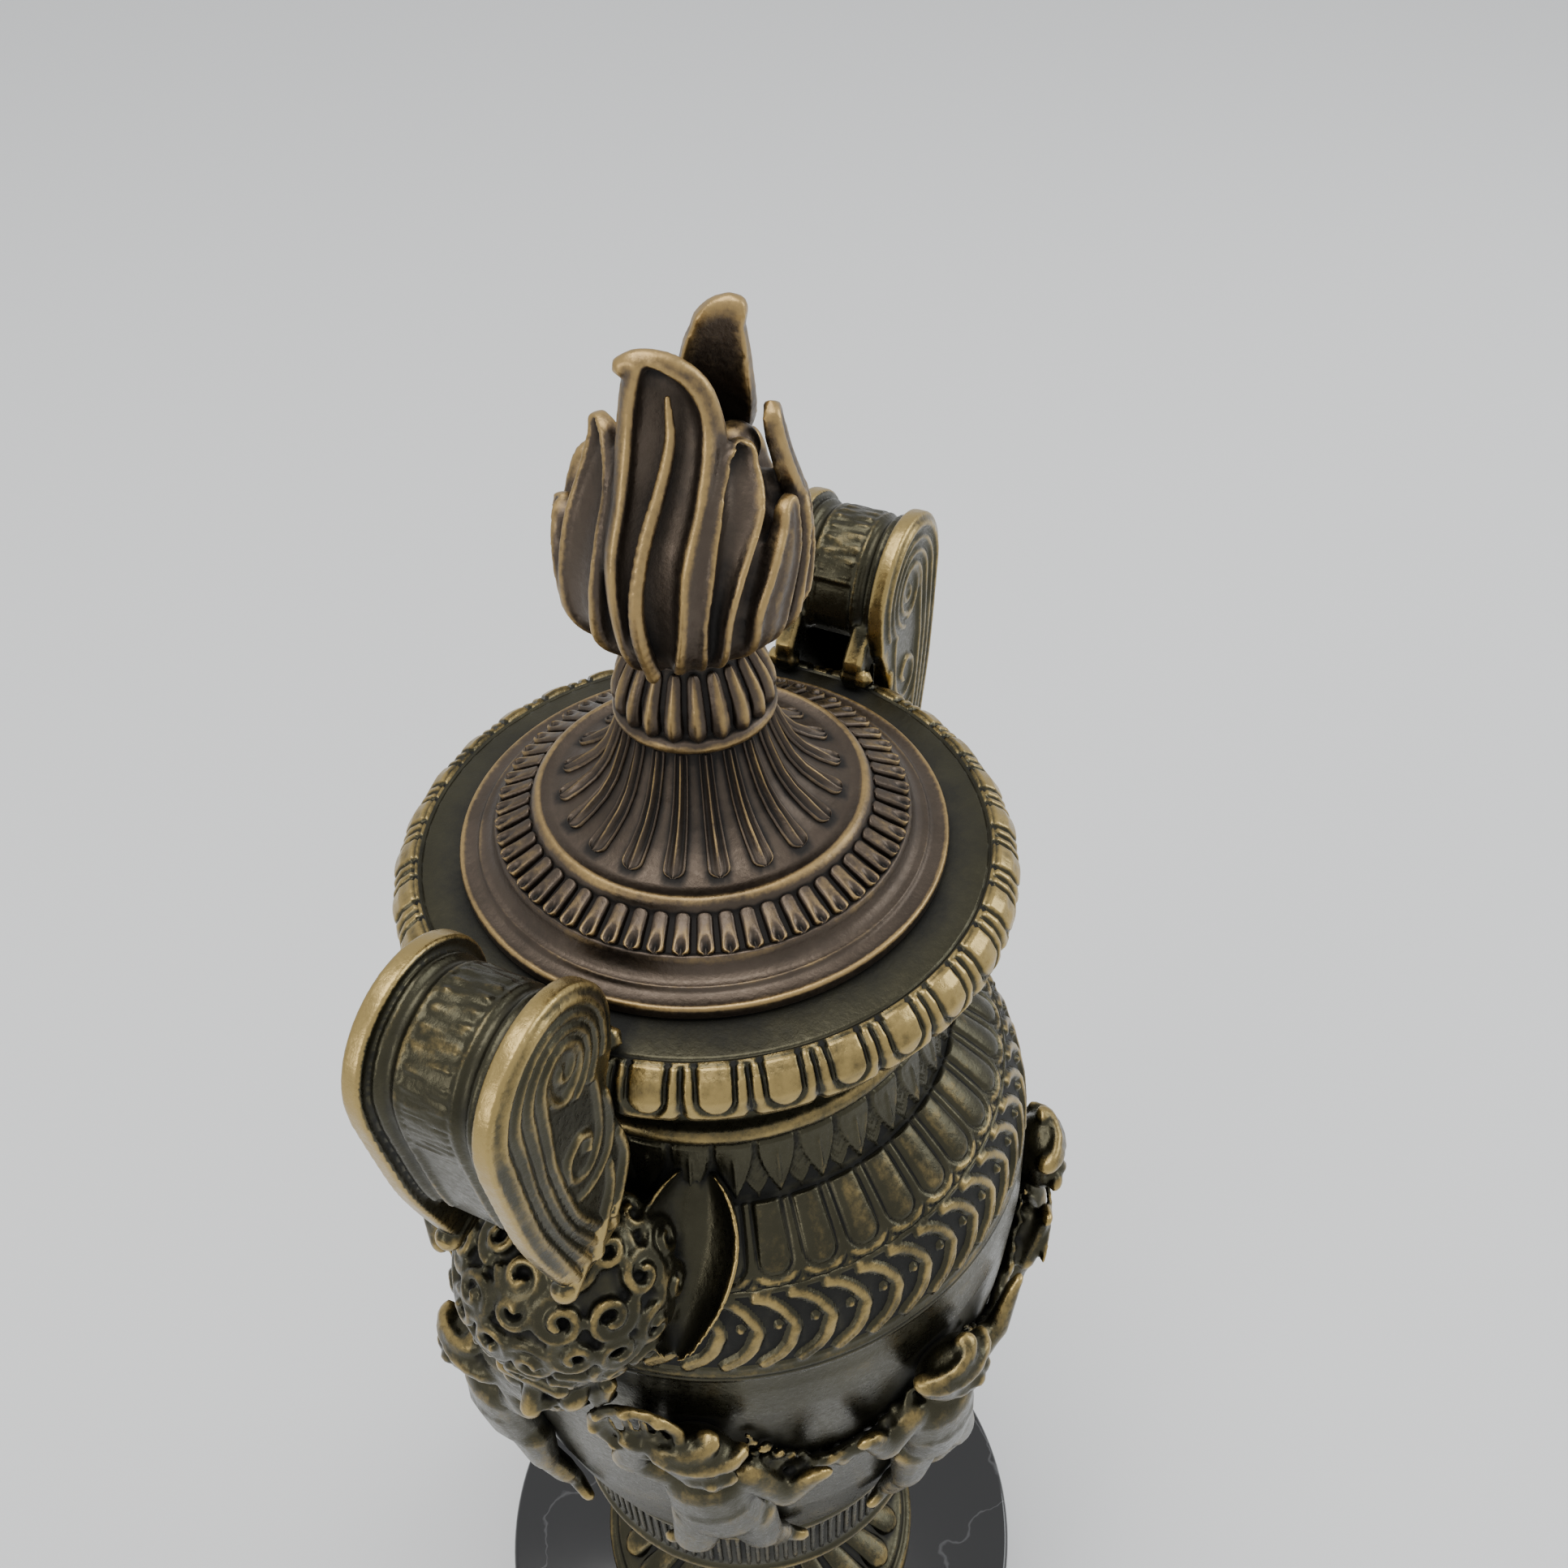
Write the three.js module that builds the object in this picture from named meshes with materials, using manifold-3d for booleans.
// A covered mantel urn of patinated bronze on a round black marble plinth.
// Millimetres, +Z up. The origin is the centre of the plinth's underside,
// and the two scroll handles stand on the X axis.
import * as THREE from 'three';
import { mergeVertices } from 'three/addons/utils/BufferGeometryUtils.js';
import Module from 'manifold-3d';

const TAU = Math.PI * 2;
const GAP = 0.3;                  // clearance kept between touching pieces

// Heights of the stack
const PLINTH_TOP = 54;
const BOWL_SEAT = 112;            // underside of the bowl, on the foot
const FRIEZE_FOOT = 163;
const FRIEZE_HEAD = 267;
const BRAID_TOP = 288;
const SHOULDER_TOP = 299;
const NECK_MOULD = 314;
const RIM_TOP = 345;
const LID_EDGE_TOP = 348;
const CONE_TOP = 373;
const COLLAR_TOP = 387;
const FLAME_TOP = 441;

// Radii
const PLINTH_R = 75.6;
const FOOT_R = 46;
const SEAT_R = 15;
const WAIST_R = 45.8;             // ribbed ring low on the bowl
const RIM_R = 54.2;
const MOUTH_R = 37;
const LID_R = 42;

// Repeats of the cast ornament
const TONGUES = 40;
const EGGS = 32;
const NECK_LEAVES = 36;
const BRAID_LEAVES = 56;
const LID_LEAVES = 56;
const CONE_TONGUES = 20;
const COLLAR_LOBES = 20;

const BRONZE_GREEN = { color: 0x3d3a24, roughness: 0.4, metalness: 0.8 };
const BRONZE_BROWN = { color: 0x6b5230, roughness: 0.45, metalness: 0.85 };
const BLACK_MARBLE = { color: 0x101012, roughness: 0.12, metalness: 0.0 };

const wasm = await Module();
wasm.setup();

// ---------- closed skins made of rings round the Z axis ----------

// One ring: `count` points at equal angles, each placed by place(angle, index).
function ring(count, place) {
  return Array.from({ length: count }, (_, i) => place((i / count) * TAU, i));
}

function flatRing(count, radius, height) {
  return ring(count, (a) => [radius * Math.cos(a), radius * Math.sin(a), height]);
}

function reliefRing(count, radius, height, raise) {
  return ring(count, (a, i) => {
    const r = radius + raise(a, i);
    return [r * Math.cos(a), r * Math.sin(a), height];
  });
}

// Joins rings in order, whatever their counts. A ring of one point is a pole.
function skin(rings, closeLoop = false) {
  const points = [];
  const starts = [];
  for (const r of rings) {
    starts.push(points.length);
    points.push(...r);
  }
  const faces = [];
  const last = closeLoop ? rings.length : rings.length - 1;
  for (let k = 0; k < last; k++) {
    const next = (k + 1) % rings.length;
    stitch(faces, starts[k], rings[k].length, starts[next], rings[next].length);
  }
  return solidGeometry(points, faces);
}

function stitch(faces, a0, countA, b0, countB) {
  let i = 0;
  let j = 0;
  while (i < countA || j < countB) {
    const stepA = (i + 1) / countA <= (j + 1) / countB + 1e-9;
    if (j === countB || (i < countA && stepA)) {
      if (countA > 1) faces.push(a0 + i, a0 + ((i + 1) % countA), b0 + (j % countB));
      i++;
    } else {
      if (countB > 1) faces.push(a0 + (i % countA), b0 + ((j + 1) % countB), b0 + j);
      j++;
    }
  }
}

function solidGeometry(points, faces) {
  const geometry = new THREE.BufferGeometry();
  geometry.setAttribute('position', new THREE.Float32BufferAttribute(points.flat(), 3));
  geometry.setIndex(faces);
  return geometry;
}

// ---------- booleans ----------

function toManifold(geometry) {
  const bare = geometry.clone();
  bare.deleteAttribute('normal');
  bare.deleteAttribute('uv');
  const merged = mergeVertices(bare, 1e-4);
  return new wasm.Manifold(new wasm.Mesh({
    numProp: 3,
    vertProperties: new Float32Array(merged.attributes.position.array),
    triVerts: new Uint32Array(merged.index.array),
  }));
}

function toGeometry(solid) {
  const mesh = solid.getMesh();
  const geometry = new THREE.BufferGeometry();
  geometry.setAttribute('position', new THREE.BufferAttribute(mesh.vertProperties, 3));
  geometry.setIndex(new THREE.BufferAttribute(mesh.triVerts, 1));
  return geometry;
}

function join(...geometries) {
  return geometries.map(toManifold).reduce((whole, piece) => whole.add(piece));
}

// A join can leave a sliver of no volume behind; the piece is what is largest.
function largest(solid) {
  const parts = solid.decompose();
  return parts.reduce((best, part) => (part.volume() > best.volume() ? part : best));
}

// ---------- plinth and foot ----------

function plinth() {
  const n = 32;
  const profile = [
    [PLINTH_R + 3, 0], [PLINTH_R + 3, 9], [PLINTH_R + 1, 13], [PLINTH_R - 5, 17],
    [PLINTH_R - 8, 28], [PLINTH_R - 5, 40], [PLINTH_R, 46],
    [PLINTH_R, PLINTH_TOP - 2], [PLINTH_R - 1.6, PLINTH_TOP],
  ];
  return skin([
    flatRing(1, 0, 0),
    ...profile.map(([r, z]) => flatRing(n, r, z)),
    flatRing(1, 0, PLINTH_TOP),
  ]);
}

// The bronze foot: a stepped disc, a gadrooned bell and a knopped stem.
function foot() {
  const base = PLINTH_TOP + GAP;
  const lobes = (depth) => (a, i) => (i % 2 ? depth : -depth);
  return skin([
    flatRing(1, 0, base),
    flatRing(28, FOOT_R, base), flatRing(28, FOOT_R, base + 5),
    flatRing(28, FOOT_R - 3, base + 8),
    reliefRing(40, FOOT_R - 5.5, base + 9.5, lobes(0.9)),
    reliefRing(40, 26, base + 19, lobes(0.8)),
    flatRing(20, 13, base + 29), flatRing(20, 11.5, base + 39),
    flatRing(20, 16, base + 43.5), flatRing(20, 12, base + 48),
    flatRing(20, SEAT_R, BOWL_SEAT - 3 - GAP), flatRing(20, SEAT_R, BOWL_SEAT - GAP),
    flatRing(1, 0, BOWL_SEAT - GAP),
  ]);
}

// ---------- bowl, shoulder, neck and rim ----------

// Radius of the bare bowl at a height, through its turned stations.
const BOWL_LINE = new THREE.CatmullRomCurve3([
  [47.5, FRIEZE_FOOT], [53, 180], [56.4, 197], [59.3, 218], [61.2, 239],
  [62.2, 256], [61.6, FRIEZE_HEAD], [61.0, 271],
].map(([r, z]) => new THREE.Vector3(r, 0, z)));

function bowlRadius(height) {
  let low = 0;
  let high = 1;
  for (let i = 0; i < 24; i++) {
    const middle = (low + high) / 2;
    if (BOWL_LINE.getPoint(middle).z < height) low = middle;
    else high = middle;
  }
  return BOWL_LINE.getPoint(low).x;
}

// The putti of the frieze. Each limb runs from one point to another, along the
// bowl and up its side, and then has its half-width and how far it stands out.
const PUTTO_WALKING = [
  [0, 82, 0, 85, 8.5, 7], [0, 65, -2, 44, 11.5, 6],
  [11, 66, 22, 82, 4.8, 4.6], [-12, 62, -21, 46, 4.8, 4.6],
  [-8, 32, -16, 6, 7, 5], [5, 32, 8, 4, 7, 5],
];
const PUTTO_TURNING = [
  [1, 81, 1, 84, 8.5, 7], [0, 64, 2, 43, 11.5, 6],
  [12, 62, 23, 52, 4.8, 4.6], [-11, 66, -20, 83, 4.8, 4.6],
  [9, 32, 15, 9, 7, 5], [-5, 32, -9, 4, 7, 5],
];
const PUTTI_A_SIDE = 4;
const PUTTO_PITCH = THREE.MathUtils.degToRad(45);
const PUTTO_FEET = FRIEZE_FOOT + 8;

// A limb is a ridge on a six-sided base that lies just inside the bowl's wall.
function limb([u0, v0, u1, v1, width, stand], centre, facing) {
  const along = new THREE.Vector2(u1 - u0, v1 - v0).normalize().multiplyScalar(width);
  const outline = [
    [u0 - along.x, v0 - along.y], [u0 + along.y, v0 - along.x],
    [u1 + along.y * 0.8, v1 - along.x * 0.8], [u1 + along.x * 0.8, v1 + along.y * 0.8],
    [u1 - along.y * 0.8, v1 + along.x * 0.8], [u0 - along.y, v0 + along.x],
  ];
  const onBowl = (u, v, out) => {
    const z = PUTTO_FEET + v;
    const r = bowlRadius(z);
    const angle = centre + (u * facing) / r;
    return [(r + out) * Math.cos(angle), (r + out) * Math.sin(angle), z];
  };
  const points = [...outline.map(([u, v]) => onBowl(u, v, -1.2)),
    onBowl(u0, v0, stand), onBowl(u1, v1, stand * 0.85)];
  const faces = [
    0, 1, 6, 1, 2, 6, 2, 7, 6, 2, 3, 7, 3, 4, 7, 4, 5, 7, 5, 6, 7, 5, 0, 6,
    0, 5, 1, 1, 5, 4, 1, 4, 2, 2, 4, 3,
  ];
  const ridge = solidGeometry(points, faces);
  if (facing < 0) flipFaces(ridge);
  return ridge;
}

function frieze() {
  const limbs = [];
  for (const side of [-1, 1]) {
    for (let k = 0; k < PUTTI_A_SIDE; k++) {
      const place = k - (PUTTI_A_SIDE - 1) / 2;
      const centre = side * (Math.PI / 2 + place * PUTTO_PITCH);
      const facing = place < 0 ? -side : side;
      const pose = k % 2 ? PUTTO_TURNING : PUTTO_WALKING;
      limbs.push(...pose.map((one) => limb(one, centre, facing)));
    }
  }
  return join(...limbs);
}

function bodyShell() {
  const plain = 32;
  const ground = [FRIEZE_FOOT, 182, 210, 240, FRIEZE_HEAD];
  const chevron = (radius, z, odd) =>
    reliefRing(BRAID_LEAVES * 2, radius, z, (a, i) => ((i + odd) % 2 ? 1.7 : 0));
  const tongueTips = ring(TONGUES * 2, (a, i) => {
    const r = 54.8 - (i % 2 ? 0 : 1.8);
    return [r * Math.cos(a), r * Math.sin(a), i % 2 ? 290.6 : 289];
  });
  const leafFeet = ring(NECK_LEAVES * 2, (a, i) => {
    const r = 43.4 + (i % 2 ? 1 : -0.4);
    return [r * Math.cos(a), r * Math.sin(a), i % 2 ? 300 : 302.5];
  });
  const eggRow = (radius, z) =>
    reliefRing(EGGS * 2, radius, z, (a, i) => (i % 2 ? 0 : -1.4));
  return skin([
    flatRing(1, 0, BOWL_SEAT),
    flatRing(20, SEAT_R, BOWL_SEAT), flatRing(plain, 30, 117),
    flatRing(plain, 41, 127), flatRing(plain, WAIST_R - 2, 137.5),
    flatRing(plain, WAIST_R + 0.6, 140), flatRing(plain, WAIST_R + 0.8, 157),
    flatRing(plain, WAIST_R - 0.4, 159.5),
    ...ground.map((z) => flatRing(plain, bowlRadius(z), z)),
    chevron(61.6, 271.5, 0), chevron(60.6, 280, 1), chevron(56.6, BRAID_TOP, 0),
    tongueTips, flatRing(TONGUES, 44.9, SHOULDER_TOP),
    leafFeet, flatRing(NECK_LEAVES, 41, 311.6),
    flatRing(plain, 42.3, NECK_MOULD), flatRing(plain, 38.2, 318),
    flatRing(plain, 37.8, 324), flatRing(plain, 41, 331),
    flatRing(plain, 51.4, 335.6),
    eggRow(RIM_R, 338.2), eggRow(52.4, 343.6),
    flatRing(plain, 48.6, RIM_TOP), flatRing(plain, MOUTH_R, RIM_TOP),
    ...bodyInside(),
  ]);
}

// The empty inside, a wall of about three millimetres behind the outside.
function bodyInside() {
  const line = [
    [36.8, 334], [34.3, 318], [39, 304], [52, 287], [57.8, 268],
    [57.4, 240], [52.6, 197], [42.5, 163], [38, 142], [24, 124],
  ];
  return [...line.map(([r, z]) => flatRing(18, r, z)), flatRing(1, 0, 119)];
}

// ---------- the satyr head under each handle ----------

const HEAD_RHO = 57;              // distance of the head's centre from the axis
const HEAD_Z = 291;

function ellipsoid(centre, radii, columns, rows, raise = () => 0) {
  const rings = [[[centre[0], centre[1], centre[2] - radii[2]]]];
  for (let k = 1; k < rows; k++) {
    const tilt = -Math.PI / 2 + (Math.PI * k) / rows;
    rings.push(ring(columns, (a, i) => {
      const swell = 1 + raise(i, k);
      return [
        centre[0] + radii[0] * swell * Math.cos(tilt) * Math.cos(a),
        centre[1] + radii[1] * swell * Math.cos(tilt) * Math.sin(a),
        centre[2] + radii[2] * swell * Math.sin(tilt),
      ];
    }));
  }
  rings.push([[centre[0], centre[1], centre[2] + radii[2]]]);
  return skin(rings);
}

// Built on +X; the curls are knobs that alternate over the crown.
function satyrHead() {
  const curls = (i, k) => ((i + k) % 2 ? 0.07 : -0.05);
  const hair = ellipsoid([HEAD_RHO, 0, HEAD_Z], [20, 21, 20.5], 12, 6, curls);
  const face = ellipsoid([HEAD_RHO + 4.5, 0, 276], [8.5, 12, 13.5], 6, 4);
  const nose = ellipsoid([HEAD_RHO + 11.5, 0, 276], [3, 2.6, 5], 4, 2);
  return join(hair, face, nose, ear(1), ear(-1));
}

// A long cupped ear that lies back along the shoulder.
function ear(side) {
  const oval = (count, long, wide, height) =>
    ring(count, (a) => [long * Math.cos(a), wide * Math.sin(a), height]);
  const cup = skin([
    [[0, 0, -4.5]], oval(6, 10, 6, -3.6), oval(8, 18, 9.5, 0.4),
    oval(6, 13.5, 6, 0.8), [[1, 0, -1]],
  ]);
  cup.rotateX(-0.85);
  cup.rotateY(0.72);
  if (side < 0) {
    cup.scale(1, -1, 1);
    flipFaces(cup);
  }
  cup.rotateZ(side * 0.16);
  cup.translate(49, side * 18, 295);
  return cup;
}

function flipFaces(geometry) {
  const index = geometry.index.array;
  for (let i = 0; i < index.length; i += 3) {
    [index[i], index[i + 1]] = [index[i + 1], index[i]];
  }
}

function urnBody() {
  const head = satyrHead();
  const inside = toManifold(skin([flatRing(1, 0, 119), ...bodyInside().slice(0, -1)
    .reverse(), flatRing(1, 0, 331)]));
  return toGeometry(largest(toManifold(bodyShell())
    .add(frieze())
    .add(head.subtract(inside))
    .add(head.rotate([0, 0, 180]).subtract(inside))));
}

// ---------- scroll handles, each two cheeks with a strap between ----------

const CHEEK_INNER = 8.8;          // half the clear width between the cheeks
const CHEEK_OUTER = 12;
const SCROLL = { rho: 65, z: 358.4, r: 15 };          // large upper volute
const CURL = { rho: 60.5, z: 333, r: 9.5 };           // small lower volute
const HANDLE_FOOT = 313;

// Side outline of a cheek, in distance from the axis and height.
function cheekShape() {
  const shape = new THREE.Shape();
  shape.moveTo(54.6 + GAP, HANDLE_FOOT);
  shape.lineTo(69.5, HANDLE_FOOT);
  shape.lineTo(73.5, 318.5);
  shape.lineTo(77.5, 328);
  shape.lineTo(77.2, 334);
  shape.quadraticCurveTo(79, 345, SCROLL.rho + SCROLL.r, SCROLL.z);
  shape.absarc(SCROLL.rho, SCROLL.z, SCROLL.r, 0, Math.PI * 1.08, false);
  shape.lineTo(54.9, 347.5);
  shape.lineTo(RIM_R + GAP + 0.5, 336);
  shape.quadraticCurveTo(50.2, 326, 52.6, 320.5);
  return shape;
}

function slab(shape, from, to, segments) {
  const options = { depth: to - from, bevelEnabled: false, curveSegments: segments };
  const geometry = new THREE.ExtrudeGeometry(shape, options);
  geometry.rotateX(Math.PI / 2);
  geometry.translate(0, to, 0);
  return geometry;
}

function disc(centre, radius, from, to, sides) {
  const shape = new THREE.Shape();
  shape.absarc(centre.rho, centre.z, radius, 0, TAU, false);
  return slab(shape, from, to, sides);
}

// The strap runs over the top between the cheeks, down the outside to the foot.
function strapShape() {
  const shape = new THREE.Shape();
  const outer = SCROLL.r - 2.6;
  const inner = SCROLL.r - 6;
  shape.moveTo(67, HANDLE_FOOT + 5);
  shape.lineTo(71, HANDLE_FOOT + 6);
  shape.quadraticCurveTo(76.4, 338, SCROLL.rho + outer, SCROLL.z);
  shape.absarc(SCROLL.rho, SCROLL.z, outer, 0, Math.PI * 1.12, false);
  shape.absarc(SCROLL.rho, SCROLL.z, inner, Math.PI * 1.12, 0, true);
  shape.quadraticCurveTo(72.8, 338, 67, HANDLE_FOOT + 5);
  return shape;
}

// Reeds that sweep down the outer side of a cheek to its stepped toes.
function reed(offset, side) {
  const shape = new THREE.Shape();
  const top = 346 - offset;
  const foot = 70 - offset * 1.35;
  shape.moveTo(75.5 - offset, top);
  shape.lineTo(foot, HANDLE_FOOT + 0.4);
  shape.lineTo(foot - 2.2, HANDLE_FOOT + 0.4);
  shape.lineTo(73.6 - offset, top);
  return slab(shape, side > 0 ? CHEEK_OUTER - 0.5 : -CHEEK_OUTER - 0.9,
    side > 0 ? CHEEK_OUTER + 0.9 : -CHEEK_OUTER + 0.5, 2);
}

function cheek(side) {
  const from = side > 0 ? CHEEK_INNER : -CHEEK_OUTER;
  const outward = (low, high) => (side > 0
    ? [CHEEK_OUTER + low, CHEEK_OUTER + high] : [-CHEEK_OUTER - high, -CHEEK_OUTER - low]);
  const plate = slab(cheekShape(), from, from + CHEEK_OUTER - CHEEK_INNER, 5);
  const pieces = [
    plate,
    disc(SCROLL, 9.5, ...outward(-0.5, 0.5), 5),
    disc(SCROLL, 4.5, ...outward(0, 1.2), 3),
    disc(CURL, 6, ...outward(-0.5, 0.5), 4),
    disc(CURL, 2.6, ...outward(0, 1.2), 3),
    reed(2, side), reed(6.5, side), reed(11, side),
  ];
  return join(...pieces);
}

// The hooked block by which each cheek sits on the rim's top.
function rimHook(side) {
  const shape = new THREE.Shape();
  shape.moveTo(45.5, RIM_TOP + GAP);
  shape.lineTo(50.2, RIM_TOP + GAP);
  shape.lineTo(55, 350);
  shape.lineTo(55, 356);
  shape.lineTo(50.5, 354.5);
  shape.lineTo(45.2, 350.5);
  const low = 4.6;
  return slab(shape, side > 0 ? low : -CHEEK_INNER - 1, side > 0 ? CHEEK_INNER + 1 : -low, 2);
}

function handle() {
  return cheek(1).add(cheek(-1)).add(toManifold(slab(strapShape(), -9.2, 9.2, 5)))
    .add(toManifold(rimHook(1))).add(toManifold(rimHook(-1)));
}

// ---------- lid ----------

function lid() {
  const plain = 32;
  const tongues = (depth) => (a, i) => (i % 2 ? depth : -depth * 0.6);
  const leaves = (a, i) => (i % 2 ? 0.6 : -0.8);
  const cone = [[23.5, 357.6, 0.5], [15.6, 363, 0.8], [12, 369.5, 0.6]];
  const seat = RIM_TOP + GAP;
  return skin([
    flatRing(plain, MOUTH_R - 1.8, 341), flatRing(plain, MOUTH_R - 1.8, seat),
    flatRing(plain, LID_R, seat), flatRing(plain, LID_R, LID_EDGE_TOP - 0.6),
    flatRing(plain, 38.2, 349.2), flatRing(plain, 36.6, 351),
    reliefRing(LID_LEAVES * 2, 34.2, 352.2, leaves),
    flatRing(plain, 28.8, 355.6), flatRing(plain, 27.3, 357.4), flatRing(plain, 25.9, 356.8),
    ...cone.map(([r, z, depth]) => reliefRing(CONE_TONGUES * 2, r, z, tongues(depth))),
    flatRing(20, 11.6, CONE_TOP), flatRing(1, 0, CONE_TOP),
    flatRing(1, 0, 369.5), flatRing(16, 8.5, 368.5), flatRing(16, 11.5, 361.5),
    flatRing(16, 20, 355.5), flatRing(16, 32, 350.5), flatRing(16, MOUTH_R - 4.6, 341),
  ], true);
}

// ---------- collar and flame ----------

function collar() {
  const lobes = (depth) => (a, i) => (i % 2 ? depth : -depth);
  const n = COLLAR_LOBES * 2;
  const low = CONE_TOP + GAP;
  return skin([
    flatRing(1, 0, low),
    flatRing(24, 12, low), flatRing(24, 13.2, low + 1.2), flatRing(24, 12.2, low + 2.4),
    reliefRing(n, 13, low + 4.6, lobes(0.8)), reliefRing(n, 11.9, low + 9.4, lobes(0.7)),
    flatRing(24, 9.4, COLLAR_TOP - 0.6), flatRing(24, 8.6, COLLAR_TOP),
    flatRing(1, 0, COLLAR_TOP),
  ]);
}

// Licks of the flame: azimuth of the root, azimuth and radius of the tip, its
// height, and half the greatest width. The first two are the tall ones.
const LICKS = [
  [-158, -160, 6, 431, 10.5], [31, -50, 6.5, FLAME_TOP, 7.5], [160, 136, 10.5, 425, 6],
  [130, 116, 16.5, 411, 5.5], [-52, -69, 14.5, 425.5, 5.5], [-72, -64, 18, 412, 5.5],
  [-100, -114, 14.5, 415, 6], [-90, -97, 17.5, 406.5, 5], [45, 31, 12.5, 420, 6.5],
  [90, 75, 15.5, 413, 6], [-5, -20, 15, 416, 6],
];
const FLAME_FOOT = COLLAR_TOP + GAP;
const FLAME_RIDGES = 14;

// A lick rises from the bulb's belly, widest half way, and leans to its tip.
function lick([rootTurn, tipTurn, tipRadius, tipHeight, halfWidth]) {
  const polar = (turn, r) => new THREE.Vector2(r, 0)
    .rotateAround(new THREE.Vector2(), THREE.MathUtils.degToRad(turn));
  const root = polar(rootTurn, 15);
  const tip = polar(tipTurn, tipRadius);
  const out = polar(rootTurn, 1);
  const across = polar(rootTurn + 90, 1);
  const rootHeight = 397;
  const steps = 3;
  const rings = [[[root.x * 0.8, root.y * 0.8, rootHeight]]];
  for (let k = 1; k <= steps; k++) {
    const t = k / (steps + 0.5);
    const centre = root.clone().lerp(tip, t * t)
      .addScaledVector(out, 2 * Math.sin(Math.PI * t));
    const wide = halfWidth * Math.sin(Math.PI * (0.3 + 0.62 * t));
    const thick = 3 - 1.2 * t;
    rings.push(ring(4, (a) => [
      centre.x + thick * Math.cos(a) * out.x + wide * Math.sin(a) * across.x,
      centre.y + thick * Math.cos(a) * out.y + wide * Math.sin(a) * across.y,
      rootHeight + (tipHeight - rootHeight) * t,
    ]));
  }
  rings.push([[tip.x, tip.y, tipHeight]]);
  return skin(rings);
}

function flame() {
  const bulb = [
    [9.2, FLAME_FOOT, 0], [14.6, 392, 0.7], [18.3, 398.5, 1.1],
    [17.6, 407, 1.1],
  ];
  const twist = (z) => (z - FLAME_FOOT) * 0.02;
  const rows = bulb.map(([r, z, depth]) => ring(FLAME_RIDGES * 2, (a, i) => {
    const angle = a + twist(z);
    const radius = r + (i % 2 ? depth : -depth);
    return [radius * Math.cos(angle), radius * Math.sin(angle), z];
  }));
  const core = skin([flatRing(1, 0, FLAME_FOOT), ...rows, flatRing(1, 0, 421)]);
  return toGeometry(join(core, ...LICKS.map(lick)));
}

// ---------- the assembled urn ----------

const urn = new THREE.Group();

function place(name, geometry, finish) {
  const mesh = new THREE.Mesh(geometry, new THREE.MeshStandardMaterial(finish));
  mesh.name = name;
  urn.add(mesh);
}

place('plinth', plinth(), BLACK_MARBLE);
place('foot', foot(), BRONZE_GREEN);
place('body', urnBody(), BRONZE_GREEN);
const rightHandle = handle();
place('handle_right', toGeometry(rightHandle), BRONZE_GREEN);
place('handle_left', toGeometry(rightHandle.rotate([0, 0, 180])), BRONZE_GREEN);
place('lid', lid(), BRONZE_BROWN);
place('collar', collar(), BRONZE_BROWN);
place('flame', flame(), BRONZE_BROWN);

export default urn;
